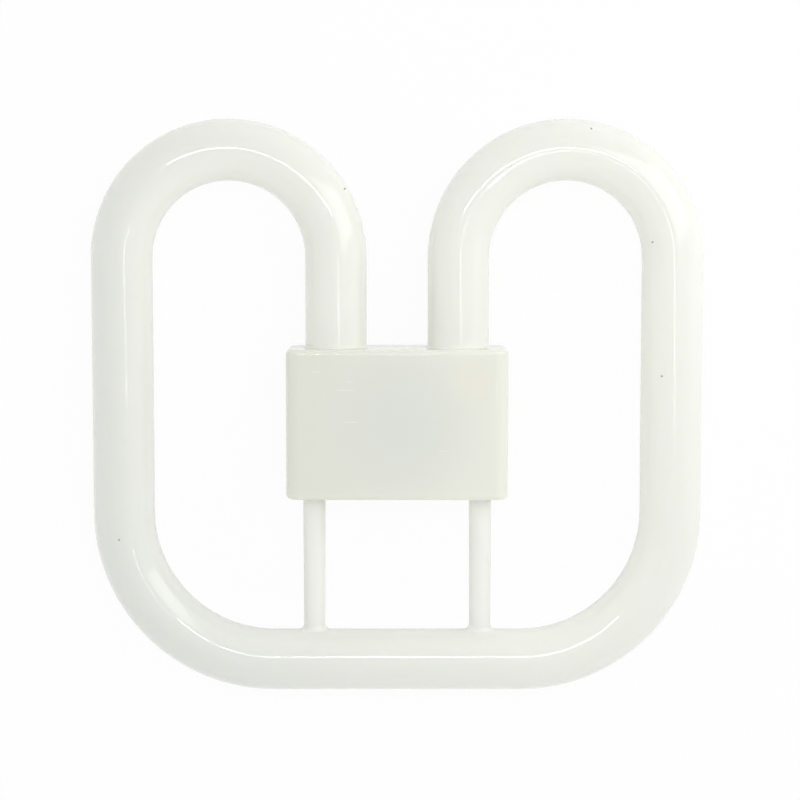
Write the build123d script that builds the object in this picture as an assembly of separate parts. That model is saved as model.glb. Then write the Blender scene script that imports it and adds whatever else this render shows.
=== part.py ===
from build123d import *
from math import atan2, degrees
import os

# Double-D LED lamp, lying on its back with its opal front upwards.
# X runs to the right, Y towards the two arches and Z out of the lit front.
# The origin is the middle of the base cap's rear face, which seats in the lamp holder.

# Light tube, one round bar bent in a plane
tube_diameter = 20.6
shell_wall = 1.6
outer_leg_spacing = 184.4
inner_leg_spacing = 41.0
arch_rise = 91.0
bar_drop = 81.2
corner_radius = 50.5

# Centre block that holds the driver
block_width = 74.0
block_length = 50.0
block_front_cover = 4.2
block_rear_cover = 3.1
block_side_radius = 4.5
block_rim_radius = 1.6
leg_fillet = 1.3

# Two struts that tie the block to the bar
strut_spacing = 56.0
strut_block_diameter = 8.0
strut_bar_diameter = 7.1
strut_fillet = 2.0

# Tongue and rebate where the front diffuser meets the rear housing
tongue_height = 1.4
tongue_gap = 0.1

# Base cap with its four pins
cap_width = 44.0
cap_length = 36.0
cap_corner_radius = 5.0
cap_projection = 3.7
cap_wall = 2.0
cap_floor = 2.0
cap_recess_depth = 7.6
cap_flange_width = 2.4
cap_flange_thickness = 1.5
cap_clearance = 0.15
latch_width = 14.0
latch_depth = 1.2
latch_ledge = 1.3
key_width = 4.0
key_height = 2.2
pin_spacing = 10.0
pin_diameter = 2.4
pin_set_back = 1.0
pin_seat_diameter = 2.8
pin_collar_diameter = 4.4
pin_collar_height = 1.4
pin_tail_diameter = 1.2
tail_projection = 1.0

# Light boards that follow the tube
light_board_width = 12.0
light_board_thickness = 1.0
light_board_sink = 2.0
light_board_reach = 6.0
board_gap = 0.6
rib_thickness = 1.4
peg_diameter = 1.8
peg_head_diameter = 3.2
peg_head_height = 0.8
peg_head_taper = 30.0
hole_clearance = 0.1
chip_length = 3.5
chip_width = 2.8
chip_height = 0.7
chip_frame = 0.4
chip_window_depth = 0.15
chip_taper = 4.0
chip_pitch = 8.4
rib_pitch = 45.0
strap_width = 1.6
strap_thickness = 0.4
strap_rise = 1.4
strap_foot = 1.5
strap_bend = 0.4
strap_track = 6.0

# Driver board in the block
driver_board_side_gap = 2.4
driver_board_end_gap = 3.6
driver_board_thickness = 1.6
driver_board_gap = 1.2
board_post_diameter = 5.4
board_post_inset = 3.6
screw_diameter = 2.2
screw_head_diameter = 4.2
screw_head_height = 1.5
screw_grip = 5.0
lead_diameter = 0.6
lead_projection = 1.0
driver_part_gap = 0.6
upper_row_inset = 8.2
lower_row_inset = 0.7

# Driver parts, each by its own case size
bulk_capacitor_diameter = 10.0
bulk_capacitor_length = 16.0
bulk_lead_pitch = 5.0
output_capacitor_diameter = 8.0
output_capacitor_height = 11.5
output_lead_pitch = 3.5
can_groove = 0.4
can_bung = 1.5
film_capacitor_length = 13.0
film_capacitor_width = 6.0
film_capacitor_height = 11.0
film_lead_pitch = 10.0
varistor_diameter = 7.5
varistor_thickness = 3.6
varistor_lead_pitch = 5.0
fuse_length = 9.0
fuse_diameter = 3.4
fuse_end_diameter = 3.8
fuse_end_length = 2.2
fuse_lead_pitch = 13.0
choke_core_length = 14.0
choke_core_width = 7.0
choke_core_height = 10.4
choke_core_limb = 3.2
choke_stand = 1.6
choke_bobbin_wall = 0.8
choke_flange = 2.4
choke_lead_pitch = 4.0
bridge_length = 4.7
bridge_width = 4.0
bridge_height = 1.6
bridge_lead_pitch = 2.5
chip_ic_length = 4.9
chip_ic_width = 3.9
chip_ic_height = 1.5
chip_ic_pitch = 1.27
chip_ic_legs = 4
leg_reach = 1.1
leg_width = 0.5
leg_thickness = 0.25
package_taper = 5.0
diode_length = 4.3
diode_width = 2.6
diode_height = 2.1
resistor_length = 3.2
resistor_width = 1.6
resistor_height = 0.6
resistor_pitch = 2.4
resistor_count = 3

# Places and levels that follow from the sizes above
tube_radius = tube_diameter / 2
outer_leg_x = outer_leg_spacing / 2
inner_leg_x = inner_leg_spacing / 2
arch_radius = (outer_leg_x - inner_leg_x) / 2
arch_x = (outer_leg_x + inner_leg_x) / 2
arch_y = arch_rise - arch_radius
corner_x = outer_leg_x - corner_radius
corner_y = corner_radius - bar_drop
strut_x = strut_spacing / 2
block_front = tube_radius + block_front_cover
block_rear = tube_radius + block_rear_cover
block_depth = block_front + block_rear
block_half = block_length / 2
axis_z = block_rear + cap_projection
back_wall_z = axis_z - block_rear + shell_wall
light_board_top = axis_z - light_board_sink
light_board_bottom = light_board_top - light_board_thickness
light_board_end_y = block_half - shell_wall - light_board_reach
driver_board_top = light_board_bottom + driver_board_thickness
driver_board_upper_y = light_board_end_y - driver_board_gap
driver_board_lower_y = driver_board_end_gap + shell_wall - block_half
driver_board_length = driver_board_upper_y - driver_board_lower_y
driver_board_width = block_width - 2 * (shell_wall + driver_board_side_gap)
driver_board_y = (driver_board_upper_y + driver_board_lower_y) / 2
post_x = driver_board_width / 2 - board_post_inset
post_y = driver_board_length / 2 - 2 * strap_foot - screw_head_diameter / 2 - driver_part_gap


def rounded_plate(width, length, thickness, radius):
    """Flat plate with rounded corners, standing on its own plane."""
    return extrude(RectangleRounded(width, length, radius), thickness)


def both_sides(shape):
    """The shape and its mirror image on the other side of the lamp."""
    return [shape, mirror(shape, about=Plane.YZ)]


def save(name, shape):
    """Write one sub-part."""
    export_step(Compound(children=list(shape.solids())), f"parts/{name}.step")


# Outer form of the lamp


def straight_bar(x, y, length, radius, along=(0, 1, 0)):
    """Round bar in the tube's plane, from a point along one direction."""
    start = Plane(origin=(x, y, axis_z), z_dir=along)
    return extrude(start * Circle(radius), length)


def bent_bar(x, y, bend_radius, radius, start_angle, angle):
    """Round bar bent about a point in the tube's plane."""
    bend = Torus(bend_radius, radius, major_angle=angle, align=None)
    return Pos(x, y, axis_z) * Rot(0, 0, start_angle) * bend


def tube_half(radius):
    """Right half of the light tube: inner leg, arch, outer leg, corner and half the bar."""
    return [
        straight_bar(inner_leg_x, 0, arch_y, radius),
        bent_bar(arch_x, arch_y, arch_radius, radius, 0, 180),
        straight_bar(outer_leg_x, corner_y, arch_y - corner_y, radius),
        bent_bar(corner_x, corner_y, corner_radius, radius, -90, 90),
        straight_bar(0, -bar_drop, corner_x, radius, along=(1, 0, 0)),
    ]


def block_form(inset):
    """Centre block: a plan with rounded upright edges, raised along Y, with soft rims."""
    plan = RectangleRounded(
        block_width - 2 * inset, block_depth - 2 * inset, block_side_radius - inset
    )
    middle = axis_z + (block_front - block_rear) / 2
    end = Plane(origin=(0, inset - block_half, middle), x_dir=(1, 0, 0), z_dir=(0, 1, 0))
    block = extrude(end * plan, block_length - 2 * inset)
    if inset < block_rim_radius:
        rims = block.edges().group_by(Axis.Y)
        block = fillet(rims[0] + rims[-1], block_rim_radius - inset)
    return block


def strut_form(inset):
    """Right strut, a round bar that tapers from the block down to the bar."""
    top = block_half - block_rim_radius - shell_wall
    taper = Cone(
        strut_bar_diameter / 2 - inset,
        strut_block_diameter / 2 - inset,
        bar_drop - top,
        align=(Align.CENTER, Align.CENTER, Align.MIN),
    )
    return Plane(origin=(strut_x, -bar_drop, axis_z), z_dir=(0, 1, 0)) * taper


def lamp_form(inset):
    """Whole lamp as one solid, drawn in from its outside by the inset."""
    bars = tube_half(tube_radius - inset) + [strut_form(inset)]
    form = block_form(inset)
    for bar in bars:
        form += both_sides(bar)
    return form


def leg_edges(form):
    """Rings where the inner legs leave the block."""
    rings = form.edges().filter_by(GeomType.CIRCLE)
    return rings.filter_by(
        lambda e: abs(e.center().Y - block_half) < block_rim_radius
        and abs(e.radius - tube_radius) < tongue_gap
    )


def strut_edges(form):
    """Saddle-shaped rings where the struts meet the bar."""
    seat_y = tube_radius - bar_drop
    return form.edges().filter_by(
        lambda e: abs(abs(e.center().X) - strut_x) < strut_bar_diameter / 2
        and abs(e.center().Y - seat_y) < block_rim_radius
        and e.bounding_box().size.X < strut_block_diameter
    )


def rounded_lamp():
    """Outside of the lamp with its fillets."""
    form = lamp_form(0)
    form = fillet(leg_edges(form), leg_fillet)
    return fillet(strut_edges(form), strut_fillet)


# Front diffuser and rear housing


def tongue_band(inset, height):
    """Slice of the lamp's form just above the plane where the shells part."""
    form = lamp_form(inset)
    above = split(form, bisect_by=Plane.XY.offset(axis_z), keep=Keep.TOP)
    return split(above, bisect_by=Plane.XY.offset(axis_z + height), keep=Keep.BOTTOM)


def front_diffuser(outside, inside):
    """Opal front shell, with a rebate round its edge for the rear housing's tongue."""
    shell = split(outside, bisect_by=Plane.XY.offset(axis_z), keep=Keep.TOP) - inside
    return shell - tongue_band(shell_wall / 2, tongue_height + tongue_gap)


def line_and_bend(start, end, centre, bend_radius, start_angle, angle):
    """Path that runs straight and then bends about a centre."""
    bend = CenterArc(centre, bend_radius, start_angle, angle)
    return Wire((Line(start, end) + bend).edges())


arch_path = line_and_bend(
    (inner_leg_x, light_board_end_y),
    (inner_leg_x, arch_y),
    (arch_x, arch_y),
    arch_radius,
    180,
    -180,
)
leg_path = line_and_bend(
    (outer_leg_x, arch_y - board_gap),
    (outer_leg_x, corner_y),
    (corner_x, corner_y),
    corner_radius,
    0,
    -90,
)
bar_path = Wire(
    Line((corner_x - board_gap, -bar_drop), (board_gap - corner_x, -bar_drop)).edges()
)


def place_on(path, share):
    """Place part of the way along a path, turned to follow it."""
    at, along = path @ share, path % share
    return Pos(at.X, at.Y, 0) * Rot(0, 0, degrees(atan2(along.Y, along.X)))


def chip_count(path):
    """How many light sources a board carries."""
    return round(path.length / chip_pitch)


def peg_places(path):
    """Places of the ribs and their pegs, each half-way between two light sources."""
    chips, ribs = chip_count(path), round(path.length / rib_pitch)
    shares = [round((i + 0.5) / ribs * chips) / chips for i in range(ribs)]
    return [place_on(path, share) for share in shares]


def board_rib():
    """Rib across the tube under a light board, with its peg and the head formed on it."""
    disc = Plane(origin=(-rib_thickness / 2, 0, axis_z), z_dir=(1, 0, 0)) * Circle(
        tube_radius - shell_wall / 2
    )
    rib = extrude(disc, rib_thickness)
    rib = split(rib, bisect_by=Plane.XY.offset(light_board_bottom), keep=Keep.BOTTOM)
    stem = Pos(0, 0, light_board_bottom) * extrude(
        Circle(peg_diameter / 2), light_board_thickness
    )
    head = Pos(0, 0, light_board_top) * extrude(
        Circle(peg_head_diameter / 2), peg_head_height, taper=peg_head_taper
    )
    return rib + stem + head


def driver_posts():
    """Four posts that carry the driver board, drilled for its screws."""
    height = light_board_bottom - back_wall_z
    post = Pos(0, 0, back_wall_z - shell_wall / 2) * extrude(
        Circle(board_post_diameter / 2), height + shell_wall / 2
    )
    pilot = Pos(0, 0, light_board_bottom - screw_grip) * extrude(
        Circle(screw_diameter / 2), screw_grip
    )
    return [Pos(x, driver_board_y + y, 0) * (post - pilot) for x, y in post_places()]


def post_places():
    """Corners of the driver board where its posts stand."""
    return [(x, y) for x in (-post_x, post_x) for y in (-post_y, post_y)]


def rear_housing(outside, inside):
    """Opal rear shell with its tongue, board ribs, driver posts and the cap's opening."""
    shell = split(outside, bisect_by=Plane.XY.offset(axis_z), keep=Keep.BOTTOM) - inside
    tongue = tongue_band(shell_wall / 2 + tongue_gap, tongue_height)
    shell += tongue - inside
    rib = board_rib()
    for place in peg_places(arch_path) + peg_places(leg_path):
        shell += both_sides(place * rib)
    for place in peg_places(bar_path):
        shell += place * rib
    shell += driver_posts()
    opening = rounded_plate(cap_width, cap_length, back_wall_z, cap_corner_radius)
    return shell - opening


# Base cap


def base_cap():
    """Cap moulding: rim that enters the holder, deep recess for the pins, flange inside."""
    spigot_width = cap_width - 2 * cap_clearance
    spigot_length = cap_length - 2 * cap_clearance
    height = cap_recess_depth + cap_floor
    radius = cap_corner_radius - cap_clearance
    cap = rounded_plate(spigot_width, spigot_length, height, radius)
    flange = rounded_plate(
        cap_width + 2 * cap_flange_width,
        cap_length + 2 * cap_flange_width,
        cap_flange_thickness,
        cap_corner_radius + cap_flange_width,
    )
    cap += Pos(0, 0, back_wall_z) * flange
    cap -= rounded_plate(
        spigot_width - 2 * cap_wall, spigot_length - 2 * cap_wall, cap_recess_depth, radius - cap_wall
    )
    cap -= latch_notches(spigot_width)
    cap += key_rib(spigot_length)
    rim = cap.faces().sort_by(Axis.Z)[0].outer_wire().edges()
    cap = chamfer(rim, latch_ledge / 4)
    for x, y in pin_places():
        cap -= Pos(x, y, 0) * extrude(Circle(pin_seat_diameter / 2), height)
    return cap - post_bites()


def post_bites():
    """Room that the flange leaves for the posts of the driver board, however near they stand."""
    bite = extrude(Circle(board_post_diameter / 2 + cap_clearance), cap_flange_thickness)
    return [Pos(x, driver_board_y + y, back_wall_z) * bite for x, y in post_places()]


def latch_notches(spigot_width):
    """Notch in each side of the rim for the holder's spring clips."""
    notch = Box(latch_depth * 2, latch_width, cap_projection - latch_ledge)
    level = latch_ledge + (cap_projection - latch_ledge) / 2
    return both_sides(Pos(spigot_width / 2, 0, level) * notch)


def key_rib(spigot_length):
    """Rib inside the recess that lets the cap into the holder one way round only."""
    rib = Box(key_width, key_height + cap_wall / 2, cap_recess_depth - pin_set_back)
    y = spigot_length / 2 - cap_wall / 2 - (key_height + cap_wall / 2) / 2
    return Pos(0, y, pin_set_back + (cap_recess_depth - pin_set_back) / 2) * rib


def pin_places():
    """Middles of the four contact pins."""
    half = pin_spacing / 2
    return [(x, y) for y in (half, -half) for x in (-half, half)]


def contact_pin(x, y):
    """Turned brass pin: bevelled tip, seat in the cap's floor, collar, tail through the board."""
    collar_z = cap_recess_depth + cap_floor
    tail_z = driver_board_top + tail_projection
    shank = Pos(0, 0, pin_set_back) * extrude(Circle(pin_diameter / 2), collar_z - pin_set_back)
    shank = chamfer(shank.edges().sort_by(Axis.Z)[0], pin_diameter / 4)
    shank += Pos(0, 0, cap_recess_depth) * extrude(Circle(pin_seat_diameter / 2), cap_floor)
    collar = Pos(0, 0, collar_z) * extrude(Circle(pin_collar_diameter / 2), pin_collar_height)
    tail = Pos(0, 0, collar_z) * extrude(Circle(pin_tail_diameter / 2), tail_z - collar_z)
    return Pos(x, y, 0) * (shank + collar + tail)


# Light boards


def light_board(path):
    """Board cut to follow the tube, with a hole over each peg."""
    board = extrude(trace(path, light_board_width), light_board_thickness)
    board = Pos(0, 0, light_board_bottom) * board
    hole = extrude(Circle(peg_diameter / 2 + hole_clearance), axis_z)
    for place in peg_places(path):
        board -= place * hole
    return board


def light_chip():
    """Surface-mount light source: a frame that leans in a little round a shallow window."""
    body = extrude(Rectangle(chip_length, chip_width), chip_height, taper=chip_taper)
    window = Rectangle(chip_length - 2 * chip_frame, chip_width - 2 * chip_frame)
    body -= Pos(0, 0, chip_height - chip_window_depth) * extrude(window, chip_window_depth)
    return Pos(0, 0, light_board_top) * body


def light_chips(path):
    """Row of light sources along a board."""
    chip, count = light_chip(), chip_count(path)
    row = [place_on(path, (i + 0.5) / count) * chip for i in range(count)]
    return Compound(children=row)


def strap(gap, step):
    """Tinned strap bent like a staple over a gap, its first foot a step above its second."""
    half = gap / 2 + strap_foot
    top = max(step, 0) + strap_rise
    line = FilletPolyline(
        (-half - strap_foot, step),
        (-half, step),
        (-half, top),
        (half, top),
        (half, 0),
        (half + strap_foot, 0),
        radius=strap_bend,
    )
    side = Plane.XZ * trace(line, strap_thickness)
    bent = extrude(side, strap_width / 2, both=True)
    return Pos(0, 0, light_board_top + strap_thickness / 2) * bent


def strap_pair(gap, step=0.0):
    """Two straps side by side, one for each pole."""
    one = strap(gap, step)
    return [Pos(0, side * strap_track / 2, 0) * one for side in (-1, 1)]


def board_links():
    """Pairs of straps that join each light board to the next."""
    leg_joint = Pos(outer_leg_x, arch_y - board_gap / 2, 0) * Rot(0, 0, 90)
    bar_joint = Pos(corner_x - board_gap / 2, -bar_drop, 0)
    links = []
    for joint in (leg_joint, bar_joint):
        for one in strap_pair(board_gap):
            links += both_sides(joint * one)
    return Compound(children=links)


def feed_links(side):
    """Pair of straps from the driver board up to the first light board."""
    middle = light_board_end_y - driver_board_gap / 2
    joint = Pos(side * inner_leg_x, middle, 0) * Rot(0, 0, 90)
    step = driver_board_top - light_board_top
    return Compound(children=[joint * one for one in strap_pair(driver_board_gap, step)])


# Driver board and what stands on it, in two rows that start from its edge and its screws

row_end = driver_board_width / 2 - board_post_inset - screw_head_diameter / 2 - driver_part_gap
upper_row = driver_board_length / 2 - upper_row_inset
lower_row = lower_row_inset - driver_board_length / 2
fuse_half = (fuse_lead_pitch + lead_diameter) / 2
package_legs = leg_reach - leg_thickness
choke_half = choke_core_width / 2 + hole_clearance + choke_flange
bulk_place = (bulk_capacitor_diameter / 2 - row_end, lower_row + bulk_capacitor_length / 2)
film_place = (
    bulk_place[0] + (bulk_capacitor_diameter + film_capacitor_width) / 2 + driver_part_gap,
    lower_row + film_capacitor_length / 2,
)
bridge_place = (0.0, lower_row + bridge_width / 2 + package_legs)
chip_ic_place = (
    0.0,
    bridge_place[1] + (bridge_width + chip_ic_width) / 2 + 2 * package_legs + driver_part_gap,
)
choke_place = (row_end - choke_core_length / 2, lower_row + choke_half)
fuse_place = (fuse_half - row_end, upper_row)
varistor_place = (
    fuse_place[0] + fuse_half + driver_part_gap + varistor_diameter / 2,
    upper_row,
)
output_place = (row_end - output_capacitor_diameter / 2, upper_row)
diode_place = (
    output_place[0]
    - (output_capacitor_diameter + diode_length + leg_reach) / 2
    - driver_part_gap,
    upper_row,
)
resistor_place = (
    diode_place[0],
    upper_row - (diode_width + resistor_width) / 2 - driver_part_gap,
)


def on_board(place):
    """Place on top of the driver board, from the board's own middle."""
    return Pos(place[0], driver_board_y + place[1], driver_board_top)


def lead(x, y, top=0.0):
    """Wire leg through the board, from its solder side up to a level above the board."""
    length = driver_board_thickness + lead_projection + top
    return Pos(x, y, top - length) * extrude(Circle(lead_diameter / 2), length)


def halves(pitch):
    """Offsets of two things that stand a pitch apart."""
    return [-pitch / 2, pitch / 2]


def pair(pitch, across=False):
    """Two lead places a pitch apart, along X or across it."""
    return [(0, half) if across else (half, 0) for half in halves(pitch)]


def lead_holes():
    """Every lead's place on the driver board, from the board's own middle."""
    rows = [
        (bulk_lead_place(), pair(bulk_lead_pitch)),
        (film_place, pair(film_lead_pitch, across=True)),
        (varistor_place, pair(varistor_lead_pitch)),
        (fuse_place, pair(fuse_lead_pitch)),
        (choke_place, choke_lead_places()),
        (output_place, pair(output_lead_pitch)),
    ]
    return [(at[0] + x, at[1] + y) for at, leads in rows for x, y in leads]


def driver_board():
    """Driver board with holes for its screws, the pins' tails and every lead."""
    board = Rectangle(driver_board_width, driver_board_length)
    hole = Circle(screw_diameter / 2 + hole_clearance)
    board -= [Pos(x, y) * hole for x, y in post_places()]
    tail = Circle(pin_tail_diameter / 2 + hole_clearance)
    board -= [Pos(x, y - driver_board_y) * tail for x, y in pin_places()]
    small = Circle(lead_diameter / 2 + hole_clearance)
    board -= [Pos(x, y) * small for x, y in lead_holes()]
    return Pos(0, driver_board_y, light_board_bottom) * extrude(board, driver_board_thickness)


def board_screws():
    """Pan-head screws that hold the driver board on its posts."""
    shank = Pos(0, 0, -screw_grip) * extrude(
        Circle(screw_diameter / 2), screw_grip + driver_board_thickness
    )
    head = Pos(0, 0, driver_board_thickness) * extrude(
        Circle(screw_head_diameter / 2), screw_head_height
    )
    head = chamfer(head.edges().sort_by(Axis.Z)[-1], screw_head_height / 3)
    slot = Box(screw_head_diameter, screw_diameter / 4, screw_head_height)
    head -= Pos(0, 0, driver_board_thickness + screw_head_height) * slot
    screw = Pos(0, driver_board_y, light_board_bottom) * (shank + head)
    return Compound(children=[Pos(x, y, 0) * screw for x, y in post_places()])


def capacitor_can(diameter, length):
    """Aluminium can on its bung, with the rolled groove above it and a softened top."""
    radius = diameter / 2
    profile = Polyline(
        (0, 0),
        (radius, 0),
        (radius, can_bung - can_groove),
        (radius - can_groove, can_bung),
        (radius, can_bung + can_groove),
        (radius, length - can_groove),
        (radius - can_groove, length),
        (0, length),
        close=True,
    )
    return revolve(make_face(Plane.XZ * profile), Axis.Z)


def bulk_lead_place():
    """Where the lying capacitor's leads turn down, beside its bung."""
    edge = bulk_place[1] + bulk_capacitor_length / 2
    return bulk_place[0], edge + lead_diameter * 2


def bulk_capacitor():
    """Smoothing capacitor lying on the board, its two leads bent down through it."""
    radius = bulk_capacitor_diameter / 2
    can = capacitor_can(bulk_capacitor_diameter, bulk_capacitor_length)
    start_y = bulk_capacitor_length / 2
    lying = Pos(0, start_y, radius) * Rot(90, 0, 0) * can
    bend = bulk_lead_place()[1] - bulk_place[1]
    for x in halves(bulk_lead_pitch):
        path = FilletPolyline(
            (x, start_y - can_groove, radius),
            (x, bend, radius),
            (x, bend, -driver_board_thickness - lead_projection),
            radius=lead_diameter,
        )
        start = Plane(origin=path @ 0, z_dir=path % 0)
        lying += sweep(start * Circle(lead_diameter / 2), path=path)
    return on_board(bulk_place) * lying


def output_capacitor():
    """Standing capacitor on the driver's output."""
    can = capacitor_can(output_capacitor_diameter, output_capacitor_height)
    can += [lead(x, y) for x, y in pair(output_lead_pitch)]
    return on_board(output_place) * can


def film_capacitor():
    """Boxed film capacitor across the supply."""
    case = extrude(Rectangle(film_capacitor_width, film_capacitor_length), film_capacitor_height)
    case = fillet(case.edges().filter_by(Axis.Z), can_groove)
    case += [lead(x, y) for x, y in pair(film_lead_pitch, across=True)]
    return on_board(film_place) * case


def varistor():
    """Disc varistor on its edge, with its coating run down onto both leads."""
    radius = varistor_diameter / 2
    disc = extrude(Plane.XZ * Circle(radius), varistor_thickness / 2, both=True)
    disc = chamfer(disc.edges(), varistor_thickness / 4)
    body = Pos(0, 0, radius + lead_diameter) * disc
    body += [lead(x, y, top=radius) for x, y in pair(varistor_lead_pitch)]
    return on_board(varistor_place) * body


def fuse_resistor():
    """Fusible resistor lying on the board between its two bent leads."""
    profile = Polyline(
        (0, 0),
        (0, fuse_end_diameter / 2),
        (fuse_end_length, fuse_end_diameter / 2),
        (fuse_end_length, fuse_diameter / 2),
        (fuse_length / 2, fuse_diameter / 2),
        (fuse_length / 2, 0),
        close=True,
    )
    half = revolve(make_face(profile), Axis.X)
    half = Pos(-fuse_length / 2, 0, 0) * half
    body = Pos(0, 0, fuse_end_diameter / 2) * (half + mirror(half, about=Plane.YZ))
    for side in (-1, 1):
        path = FilletPolyline(
            (side * (fuse_length / 2 - can_groove), 0, fuse_end_diameter / 2),
            (side * fuse_lead_pitch / 2, 0, fuse_end_diameter / 2),
            (side * fuse_lead_pitch / 2, 0, -driver_board_thickness - lead_projection),
            radius=lead_diameter,
        )
        start = Plane(origin=path @ 0, z_dir=path % 0)
        body += sweep(start * Circle(lead_diameter / 2), path=path)
    return on_board(fuse_place) * body


def choke_core():
    """Ferrite core: a frame round the coil with a limb through its middle."""
    side = (choke_core_length - 2 * choke_core_limb) / 2
    window = Rectangle(side, choke_window_height())
    offset_x = (choke_core_limb + side) / 2
    frame = Rectangle(choke_core_length, choke_core_height)
    frame -= Pos(offset_x, 0) * window
    frame -= Pos(-offset_x, 0) * window
    core = extrude(Plane.XZ * frame, choke_core_width / 2, both=True)
    return on_board(choke_place) * Pos(0, 0, choke_stand + choke_core_height / 2) * core


def choke_window_height():
    """Clear height of the core's windows."""
    return choke_core_height - choke_core_limb


def bobbin_height():
    """Height of the bobbin between the core's yokes."""
    return choke_window_height() - 2 * hole_clearance


def bobbin_bottom():
    """Underside of the bobbin's lower flange, above the board."""
    return choke_stand + choke_core_limb / 2 + hole_clearance


def bobbin_profile(grow):
    """Square sleeve round the core's middle limb, larger by a given growth."""
    side = choke_core_limb + 2 * (hole_clearance + grow)
    depth = choke_core_width + 2 * (hole_clearance + grow)
    return RectangleRounded(side, depth, (hole_clearance + grow) / 2)


def bobbin_foot():
    """Foot that stands on the board beside the core, and its two leads."""
    inner = choke_core_width / 2 + hole_clearance
    outer = choke_core_width / 2 + hole_clearance + choke_flange
    width = choke_lead_pitch + choke_flange
    foot = Pos(0, (inner + outer) / 2, 0) * extrude(
        Rectangle(width, outer - inner), bobbin_bottom() + choke_bobbin_wall
    )
    return foot + [lead(x, (inner + outer) / 2) for x in halves(choke_lead_pitch)]


def choke_lead_places():
    """Places of the bobbin's four leads, from the choke's own middle."""
    y = choke_core_width / 2 + hole_clearance + choke_flange / 2
    return [(x, side) for x in halves(choke_lead_pitch) for side in (-y, y)]


def choke_bobbin():
    """Moulded bobbin: a sleeve on the middle limb, two flanges and a foot on each side."""
    height = bobbin_height()
    sleeve = extrude(bobbin_profile(choke_bobbin_wall), height)
    flange = extrude(bobbin_profile(choke_flange), choke_bobbin_wall)
    bobbin = sleeve + flange + Pos(0, 0, height - choke_bobbin_wall) * flange
    bobbin -= extrude(bobbin_profile(0), height)
    foot = bobbin_foot()
    bobbin = Pos(0, 0, bobbin_bottom()) * bobbin + foot + mirror(foot, about=Plane.XZ)
    return on_board(choke_place) * bobbin


def choke_winding():
    """Copper wire wound on the bobbin between its flanges."""
    height = bobbin_height() - 2 * choke_bobbin_wall
    coil = extrude(bobbin_profile(choke_flange - choke_bobbin_wall / 2), height)
    coil -= extrude(bobbin_profile(choke_bobbin_wall), height)
    return on_board(choke_place) * Pos(0, 0, bobbin_bottom() + choke_bobbin_wall) * coil


def gull_leg():
    """Flat leg that leaves a package half-way up and steps down onto the board."""
    knee = leg_reach / 2
    path = FilletPolyline(
        (0, 0, leg_reach / 2 + leg_thickness / 2),
        (knee, 0, leg_reach / 2 + leg_thickness / 2),
        (knee, 0, leg_thickness / 2),
        (leg_reach, 0, leg_thickness / 2),
        radius=leg_thickness,
    )
    start = Plane(origin=path @ 0, x_dir=(0, 1, 0), z_dir=path % 0)
    return sweep(start * Rectangle(leg_width, leg_thickness), path=path)


def package(length, width, height, pitch, legs):
    """Moulded package with a row of legs down both long sides."""
    body = Pos(0, 0, leg_thickness / 2) * extrude(
        Rectangle(length, width), height - leg_thickness / 2, taper=package_taper
    )
    leg = Rot(0, 0, 90) * gull_leg()
    first = -pitch * (legs - 1) / 2
    for i in range(legs):
        side = Pos(first + i * pitch, width / 2 - leg_thickness, 0) * leg
        body += [side, mirror(side, about=Plane.XZ)]
    return body


def bridge_rectifier():
    """Four-legged rectifier."""
    return on_board(bridge_place) * package(
        bridge_length, bridge_width, bridge_height, bridge_lead_pitch, 2
    )


def driver_ic():
    """Eight-legged driver chip."""
    return on_board(chip_ic_place) * package(
        chip_ic_length, chip_ic_width, chip_ic_height, chip_ic_pitch, chip_ic_legs
    )


def output_diode():
    """Rectangular diode with a terminal folded under each end."""
    body = extrude(Rectangle(diode_length, diode_width), diode_height, taper=package_taper)
    tab = Rectangle(diode_length + leg_reach, diode_width / 2)
    return on_board(diode_place) * (body + extrude(tab, leg_thickness))


def sense_resistors():
    """Row of chip resistors that set the current."""
    body = extrude(Rectangle(resistor_length, resistor_width), resistor_height)
    row = [
        on_board(resistor_place) * Pos(0, -i * resistor_pitch, 0) * body
        for i in range(resistor_count)
    ]
    return Compound(children=row)


def main():
    """Build every sub-part and write it."""
    os.makedirs("parts", exist_ok=True)
    outside = rounded_lamp()
    inside = lamp_form(shell_wall)
    save("front_diffuser", front_diffuser(outside, inside))
    save("rear_housing", rear_housing(outside, inside))
    save("base_cap", base_cap())
    for i, (x, y) in enumerate(pin_places(), start=1):
        save(f"contact_pin_{i}", contact_pin(x, y))

    for name, path in (("arch", arch_path), ("leg", leg_path)):
        board, row = light_board(path), light_chips(path)
        save(f"light_board_{name}_right", board)
        save(f"light_board_{name}_left", mirror(board, about=Plane.YZ))
        save(f"light_chips_{name}_right", row)
        save(f"light_chips_{name}_left", mirror(row, about=Plane.YZ))
    save("light_board_bar", light_board(bar_path))
    save("light_chips_bar", light_chips(bar_path))
    save("board_links", board_links())
    save("feed_links_left", feed_links(-1))
    save("feed_links_right", feed_links(1))

    save("driver_board", driver_board())
    save("board_screws", board_screws())
    save("bulk_capacitor", bulk_capacitor())
    save("output_capacitor", output_capacitor())
    save("film_capacitor", film_capacitor())
    save("varistor", varistor())
    save("fuse_resistor", fuse_resistor())
    save("choke_core", choke_core())
    save("choke_bobbin", choke_bobbin())
    save("choke_winding", choke_winding())
    save("bridge_rectifier", bridge_rectifier())
    save("driver_ic", driver_ic())
    save("output_diode", output_diode())
    save("sense_resistors", sense_resistors())


main()
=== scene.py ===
# %% [markdown]
# A double-D LED lamp, lying on its back with its opal front upwards.
# The construction comes packed from the CAD step and is loaded as a fixed frame. The lamp is seen
# through nothing but its moulded outside, so most of the work here goes into two smooth shells and
# into the milky plastic that they are made of.

from math import cos, pi, radians, sin, sqrt, tan

import bmesh
import bpy
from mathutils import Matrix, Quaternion, Vector


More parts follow.
